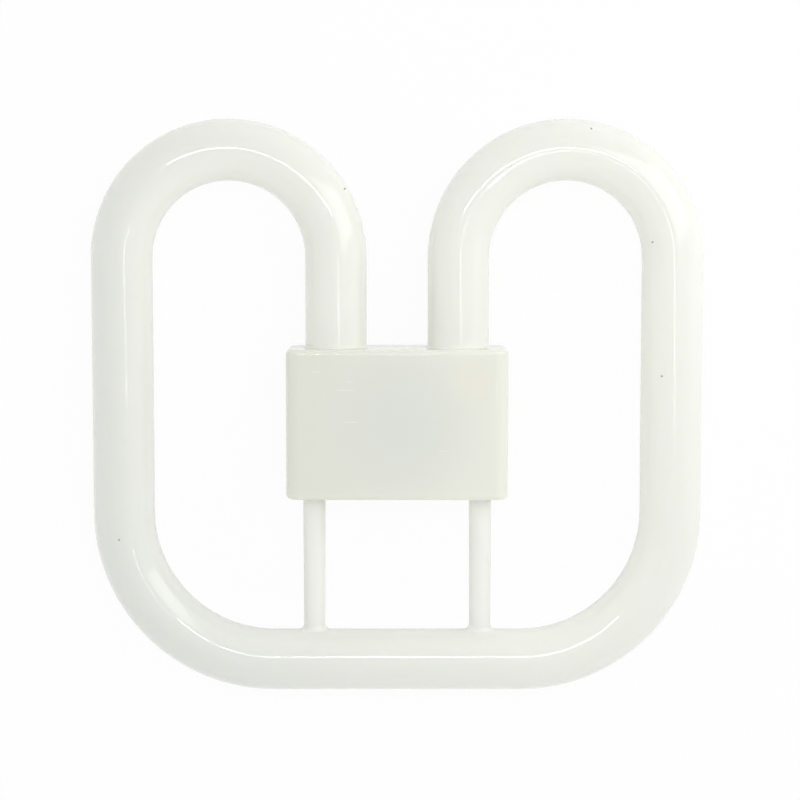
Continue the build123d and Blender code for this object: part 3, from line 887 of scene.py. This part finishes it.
def rear_painted_shade(place, x):
    """Colour of the block's back half: painted shade, darker than the front and darker on the left."""
    return x.fade(-block_width / 2, block_width / 2).blend(rear_left_painted_shade, rear_right_painted_shade)


def no_marks(place, x, y, body):
    """A side with nothing on it."""
    return body


front_opal = opal(
    "opal_front",
    tint=colour(243, 244, 235),
    deep=colour(239, 241, 232),
    warm=colour(244, 243, 228),
    # The painted shade towards the lower left.
    painted_shade=colour(231, 233, 226),
    block_tone=front_tone,
    marks=front_marks,
)
# Painted shade: the rear half is the same opal as the front, painted a little darker as it faces the
# floor.
shaded_rear_opal = opal(
    "opal_rear",
    tint=colour(241, 242, 233),
    deep=colour(237, 239, 230),
    warm=colour(242, 241, 226),
    # The painted shade towards the lower left.
    painted_shade=colour(229, 231, 224),
    block_tone=rear_painted_shade,
    marks=no_marks,
)
give(front_opal, front_shell)
give(shaded_rear_opal, rear_shell)
print("scuffs", len(scuffs), "specks", len(specks))

# %% [markdown]
# The base cap and its four pins show on the underside, where they enter the lamp holder. The meshes
# from the CAD step are loose triangles, so a copy of each is merged and shaded smooth, and stands
# for the node. The parts inside keep their CAD meshes, because the opal shells close over them.

# %% Cap and pins
def smooth_copy(name):
    """A merged and smooth copy of a CAD node, which stands for it."""
    twin = bpy.data.objects.new(name + "_smooth", nodes[name].data.copy())
    bpy.context.scene.collection.objects.link(twin)
    twin.data.materials.clear()
    edit(twin)
    smooth(tidy(twin))
    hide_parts(name)
    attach(twin, "root")
    return twin


cap = smooth_copy("base_cap")
pins = [smooth_copy(name) for name in nodes if name.startswith("contact_pin")]
report(cap)
print("pins", [pin.name for pin in pins])

# %% [markdown]
# Most other plastics and coats differ in tone, gloss and grain only. One function makes them: two
# tones drift into each other over the part, and a fine grain moves the gloss and raises the surface.

# %% Moulded plastics and coats
def moulded(name, pale, deep, roughness, grain_size, grain_height):
    """A moulded or dipped surface with a drift of tone and an even grain."""
    material, shader, place = finish(name)
    cloud = grain(place, scale=1 / (12 * mm))
    fine = grain(place, scale=1 / grain_size, detail=3.0)
    feed(
        shader,
        place,
        Base_Color=cloud.fade(*noise_middle).blend(pale, deep),
        Roughness=fine.fade(low=0.25, high=0.75, start=roughness - 0.04, end=roughness + 0.04),
        IOR=1.5,
        Normal=raised(place, fine, distance=grain_height, strength=0.6),
    )
    return material


cap_white = moulded(
    "cap_white",
    pale=colour(238, 239, 234),
    deep=colour(231, 233, 226),
    roughness=0.34,
    grain_size=0.35 * mm,
    grain_height=0.008 * mm,
)
film_case = moulded(
    "film_case",
    pale=colour(214, 184, 66),
    deep=colour(203, 170, 50),
    roughness=0.22,
    grain_size=0.6 * mm,
    grain_height=0.006 * mm,
)
varistor_coat = moulded(
    "varistor_coat",
    pale=colour(46, 92, 158),
    deep=colour(36, 76, 138),
    roughness=0.30,
    grain_size=0.5 * mm,
    grain_height=0.05 * mm,
)
ferrite = moulded(
    "ferrite",
    pale=colour(62, 61, 60),
    deep=colour(48, 47, 47),
    roughness=0.72,
    grain_size=0.12 * mm,
    grain_height=0.02 * mm,
)
bobbin_black = moulded(
    "bobbin_black",
    pale=colour(38, 38, 39),
    deep=colour(30, 30, 31),
    roughness=0.46,
    grain_size=0.2 * mm,
    grain_height=0.008 * mm,
)
black_package = moulded(
    "black_package",
    pale=colour(36, 36, 38),
    deep=colour(27, 27, 29),
    roughness=0.55,
    grain_size=0.08 * mm,
    grain_height=0.006 * mm,
)
packages = ("bridge_rectifier", "driver_ic", "output_diode", "sense_resistors")
give(cap_white, cap)
give(film_case, nodes["film_capacitor"])
give(varistor_coat, nodes["varistor"])
give(ferrite, nodes["choke_core"])
give(bobbin_black, nodes["choke_bobbin"])
give(black_package, *(nodes[name] for name in packages))

# %% [markdown]
# The pins are turned, so their brass has very fine rings round it, and a little tarnish dulls it in
# clouds. The same function makes the tinned straps and the plated screws, with other tones.

# %% Metals
def bands(place, across, period):
    """Even bands across one axis, 0 to 1, a period apart."""
    settings = {"bands_direction": across, "wave_profile": "SIN"}
    inputs = {"Vector": place, "Scale": pi / (10 * period), "Distortion": 0.0}
    return place.node("ShaderNodeTexWave", inputs, output="Fac", **settings)


def metal(name, bright, dull, roughness, ring_gap, ring_depth):
    """Bare metal with tool marks round its upright axis and clouds of tarnish."""
    material, shader, place = finish(name)
    cloud = grain(place, scale=1 / (2.5 * mm), detail=3.0)
    rings = bands(place, "Z", ring_gap)
    feed(
        shader,
        place,
        Base_Color=cloud.fade(low=0.35, high=0.75).blend(bright, dull),
        Metallic=1.0,
        Roughness=cloud.fade(low=0.3, high=0.8, start=roughness, end=roughness + 0.16),
        Normal=raised(place, rings, distance=ring_depth, strength=0.5),
    )
    return material


pin_brass = metal(
    "pin_brass",
    bright=colour(226, 196, 118),
    dull=colour(196, 158, 88),
    roughness=0.20,
    ring_gap=0.06 * mm,
    ring_depth=0.003 * mm,
)
tinned = metal(
    "tinned_wire",
    bright=colour(214, 214, 208),
    dull=colour(186, 187, 183),
    roughness=0.26,
    ring_gap=0.30 * mm,
    ring_depth=0.002 * mm,
)
steel = metal(
    "screw_steel",
    bright=colour(196, 198, 200),
    dull=colour(168, 170, 172),
    roughness=0.24,
    ring_gap=0.12 * mm,
    ring_depth=0.002 * mm,
)
give(pin_brass, *pins)
give(tinned, nodes["board_links"], nodes["feed_links_left"], nodes["feed_links_right"])
give(steel, nodes["board_screws"])

# %% [markdown]
# The light boards are thin aluminium with a white mask on top, and the driver board is glass fibre
# with a green one. A face's own direction tells the mask from the bare edge. Each light source is a
# white frame round a window of yellow phosphor, which lies a little lower than the frame.

# %% Boards and light sources
window_depth = 0.15 * mm
window_floor, window_edge = 0.9 * window_depth, 0.4 * window_depth
frame_white = colour(240, 240, 236)
track_share, speckle_share = 0.7, 0.3


def facing_up(place):
    """1 on faces that look up, 0 on all others."""
    normal = place.node("ShaderNodeNewGeometry", output="Normal")
    return split(normal)[2].fade(low=0.6, high=0.9)


def masked_board(name, mask_pale, mask_deep, edge, edge_metal):
    """A board whose flat face has a printed mask and whose edges are bare."""
    material, shader, place = finish(name)
    up = facing_up(place)
    tracks = place.node(
        "ShaderNodeTexBrick",
        {"Vector": place, "Scale": 1 / (6 * mm), "Mortar Size": 0.06, "Mortar Smooth": 0.3},
        output="Fac",
    )
    fine = grain(place, scale=1 / (0.5 * mm), detail=3.0)
    mask = (tracks * track_share + fine * speckle_share).blend(mask_pale, mask_deep)
    feed(
        shader,
        place,
        Base_Color=up.blend(edge, mask),
        Metallic=(1 - up) * edge_metal,
        Roughness=fine.fade(*noise_middle, start=0.30, end=0.40),
        Normal=raised(place, tracks, distance=0.02 * mm, strength=0.5),
    )
    return material


def light_source():
    """White frame and yellow window of a light source."""
    material, shader, place = finish("light_chip")
    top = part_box("light_chips_bar")[1][2]
    height = split(place)[2]
    sunk = height.fade(top - window_floor, top - window_edge, 1.0, 0.0)
    window = sunk * facing_up(place)
    fine = grain(place, scale=1 / (0.25 * mm), detail=3.0)
    phosphor = fine.blend(colour(243, 214, 92), colour(232, 196, 66))
    feed(
        shader,
        place,
        Base_Color=window.blend(frame_white, phosphor),
        Roughness=window.fade(low=0.0, high=1.0, start=0.38, end=0.55),
        Normal=raised(place, fine, distance=0.01 * mm, strength=0.4),
    )
    return material


white_board = masked_board(
    "light_board_white",
    mask_pale=colour(241, 241, 236),
    mask_deep=colour(230, 231, 226),
    edge=colour(190, 191, 192),
    edge_metal=1.0,
)
green_board = masked_board(
    "driver_board_green",
    mask_pale=colour(46, 110, 62),
    mask_deep=colour(32, 88, 48),
    edge=colour(176, 164, 110),
    edge_metal=0.0,
)
light_chip = light_source()
give(white_board, *(node for name, node in nodes.items() if name.startswith("light_board")))
give(light_chip, *(node for name, node in nodes.items() if name.startswith("light_chips")))
give(green_board, nodes["driver_board"])

# %% [markdown]
# The last finishes follow their own part. A capacitor's can wears a dark sleeve with one pale stripe
# and shows bare aluminium at its end, the fusible resistor has painted bands, and the choke's wire
# lies in even turns, with painted shade in the grooves between them. The stripes and bands are
# placed from the box of the part.

# %% Parts with marks of their own
sleeve_fold = 0.5 * mm
sleeve_edge = 0.3 * sleeve_fold
stripe_half = 1.1 * mm
band_width = 0.7 * mm
wire_pitch = 0.32 * mm


def mark(value, middle, half):
    """1 where a value lies within half a width of the middle, with a crisp edge."""
    return (value - middle).sum("ABSOLUTE").fade(half, half + hair, 1.0, 0.0)


def can(name, along, closed_end, across):
    """A sleeved aluminium can, bare past its sleeve at the closed end, with a stripe down one side."""
    low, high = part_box(name)
    material, shader, place = finish("can_" + name)
    spots = split(place)
    end = (low, high)[closed_end][along]
    bare = (spots[along] - end).sum("ABSOLUTE").fade(sleeve_edge, sleeve_fold, 1.0, 0.0)
    stripe = mark(spots[across], (low[across] + high[across]) / 2, stripe_half)
    fine = grain(place, scale=1 / (0.4 * mm), detail=3.0)
    sleeve = stripe.blend(colour(40, 42, 52), colour(172, 176, 182))
    aluminium = fine.blend(colour(206, 207, 208), colour(190, 191, 193))
    feed(
        shader,
        place,
        Base_Color=bare.blend(sleeve, aluminium),
        Metallic=bare,
        Roughness=fine.fade(*noise_middle, start=0.22, end=0.32),
        Normal=raised(place, fine, distance=0.006 * mm, strength=0.4),
    )
    return material


def banded_resistor():
    """A matt green body with four painted bands."""
    low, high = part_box("fuse_resistor")
    material, shader, place = finish("fuse_coat")
    x = split(place)[0]
    fine = grain(place, scale=1 / (0.3 * mm), detail=3.0)
    body = fine.blend(colour(146, 176, 142), colour(128, 160, 126))
    paints = (colour(112, 66, 34), colour(24, 24, 24), colour(196, 160, 84), colour(150, 40, 34))
    step = (high[0] - low[0]) / (2 * len(paints) + 2)
    for number, paint in enumerate(paints):
        middle = (low[0] + high[0]) / 2 + (number - (len(paints) - 1) / 2) * step
        body = mark(x, middle, band_width / 2).blend(body, paint)
    feed(
        shader,
        place,
        Base_Color=body,
        Roughness=fine.fade(*noise_middle, start=0.50, end=0.62),
        Normal=raised(place, fine, distance=0.02 * mm, strength=0.5),
    )
    return material


def wound_wire():
    """Enamelled copper wire in even turns round an upright bobbin, with painted shade between the
    turns.
    """
    material, shader, place = finish("copper_winding")
    turns = bands(place, "Z", wire_pitch)
    cloud = grain(place, scale=1 / (3 * mm))
    copper = cloud.blend(colour(196, 112, 58), colour(168, 88, 44))
    feed(
        shader,
        place,
        # Painted shade: the wire is darker and less metallic in the grooves between turns.
        Base_Color=turns.fade(low=0.0, high=0.5).blend(colour(96, 46, 22), copper),
        Metallic=turns.fade(low=0.0, high=0.4, start=0.2, end=0.9),
        Roughness=cloud.fade(*noise_middle, start=0.26, end=0.36),
        Normal=raised(place, turns, distance=0.12 * mm, strength=0.8),
    )
    return material


give(can("bulk_capacitor", along=1, closed_end=0, across=0), nodes["bulk_capacitor"])
give(can("output_capacitor", along=2, closed_end=1, across=1), nodes["output_capacitor"])
give(banded_resistor(), nodes["fuse_resistor"])
give(wound_wire(), nodes["choke_winding"])
unfinished = [name for name, node in nodes.items() if not node.data.materials and not node.hide_render]
print("nodes still without a finish:", unfinished)

# %% [markdown]
# The photograph looks almost straight down on the lit front, with the camera leaning about five
# degrees towards the arches, through a long lens.

# %% Camera
lean = radians(5.3)
distance = 0.775
aim = Vector((0.94 * mm, 7.2 * mm, axis_z))
bpy.ops.object.camera_add(
    location=aim + Vector((0, sin(lean), cos(lean))) * distance, rotation=(-lean, 0, 0)
)
camera = bpy.context.active_object
camera.data.lens = 103.6
camera.data.sensor_width = 36.0
camera.data.clip_start = 0.01
camera.data.clip_end = 20.0
bpy.context.scene.camera = camera
print("camera at", [round(c, 3) for c in camera.location])

# %% [markdown]
# Broad fills give the milky plastic its even tone, and they show in no reflection. A wide soft key
# to the upper right draws the broad streaks on the arches' shoulders and inside the lower left
# corner. A long narrow strip above the bar draws the fine white line along it, and a short one the
# thin lines on the crests of the arches. Places and sizes are in metres, powers in watts.

# %% Lights
strip_width = 0.015
lamp_middle = (0, 0, axis_z)


def soft_light(name, place, aim_at, size, power, roll=0.0):
    """An area light at a place, looking at a point and turned about its own axis."""
    bpy.ops.object.light_add(type="AREA", location=place)
    lamp = bpy.context.active_object
    lamp.name = name
    lamp.data.shape = "RECTANGLE"
    lamp.data.size, lamp.data.size_y = size
    lamp.data.energy = power
    turn = (Vector(aim_at) - Vector(place)).to_track_quat("-Z", "Y")
    lamp.rotation_euler = (turn @ Quaternion((0, 0, 1), roll)).to_euler()
    lamp.visible_camera = False
    return lamp


fills = (
    soft_light("overhead", (0.03, 0.03, 0.36), aim_at=lamp_middle, size=(0.30, 0.30), power=0.26),
    soft_light("fill_left", (-0.35, 0.00, 0.25), aim_at=lamp_middle, size=(0.20, 0.20), power=0.12),
    soft_light("fill_bottom", (0.05, -0.35, 0.25), aim_at=lamp_middle, size=(0.20, 0.20), power=0.15),
)
for lamp in fills:
    lamp.visible_glossy = False
highlights = (
    soft_light(
        "key_right",
        (0.34, 0.22, 0.34),
        aim_at=(-0.02, 0.076, axis_z),
        size=(0.25, 0.52),
        power=0.70,
    ),
    soft_light(
        "line_bar",
        (0, 0.177, 0.80),
        aim_at=(0, 0, 0),
        size=(0.44, strip_width),
        power=0.65,
    ),
    soft_light(
        "line_crest",
        (0.15, -0.02, 0.80),
        aim_at=(0.15, -0.02, 0),
        size=(0.17, strip_width),
        power=0.07,
        roll=radians(-44),
    ),
)
print("lights:", ", ".join(lamp.name for lamp in fills + highlights))

# %% [markdown]
# The lamp lies on a plain white floor, in a pale surround that is brightest near the horizon. The
# camera and reflections see both as pure white, as in the photograph, and the light that they send
# to the lamp stays at its own level. A little of the floor's own shade shows through its white, so
# the lamp keeps a faint shadow.

# %% Surround and floor
surround_level = 1.51
floor_side = 8.0
floor_tone = (0.97, 0.97, 0.97, 1)
floor_glow = 0.94
plain_white = (1, 1, 1, 1)


def seen_rays(start):
    """1 for rays that the camera, a glossy surface or a clear one sends out, otherwise 0."""
    kinds = ("Is Camera Ray", "Is Glossy Ray", "Is Transmission Ray")
    first, second, third = (start.node("ShaderNodeLightPath", output=kind) for kind in kinds)
    return first.sum("MAXIMUM", second.sum("MAXIMUM", third))


world = bpy.data.worlds.new("studio")
bpy.context.scene.world = world
world.use_nodes = True
tree = world.node_tree
tree.nodes.clear()
seen = seen_rays(Strand(tree))
toward = seen.node("ShaderNodeTexCoord", output="Generated")
height = split(toward)[2].sum("MAXIMUM", 0.0)
level = surround_level - height * surround_level
around = seen.node("ShaderNodeBackground", {"Color": plain_white, "Strength": level})
white = seen.node("ShaderNodeBackground", {"Color": plain_white, "Strength": 1.0})
mixed = seen.node("ShaderNodeMixShader", {0: seen, 1: around, 2: white})
seen.node("ShaderNodeOutputWorld", {"Surface": mixed})

bpy.ops.object.select_all(action="DESELECT")
bpy.ops.mesh.primitive_plane_add(size=floor_side, location=(0, 0, 0))
floor = bpy.context.active_object
floor.name = "floor"
material, shader, place = finish("floor_white")
feed(shader, place, Base_Color=floor_tone, Roughness=0.9)
glow = place.node("ShaderNodeEmission", {"Color": plain_white, "Strength": 1.0})
own = Strand(place.tree, shader.outputs[0])
mixed = place.node("ShaderNodeMixShader", {0: seen_rays(place) * floor_glow, 1: own, 2: glow})
place.tree.links.new(mixed.socket, place.tree.nodes["Material Output"].inputs["Surface"])
floor.data.materials.append(material)

bpy.context.scene.view_settings.view_transform = "Standard"
print("floor", floor_side, "m square, world", world.name)
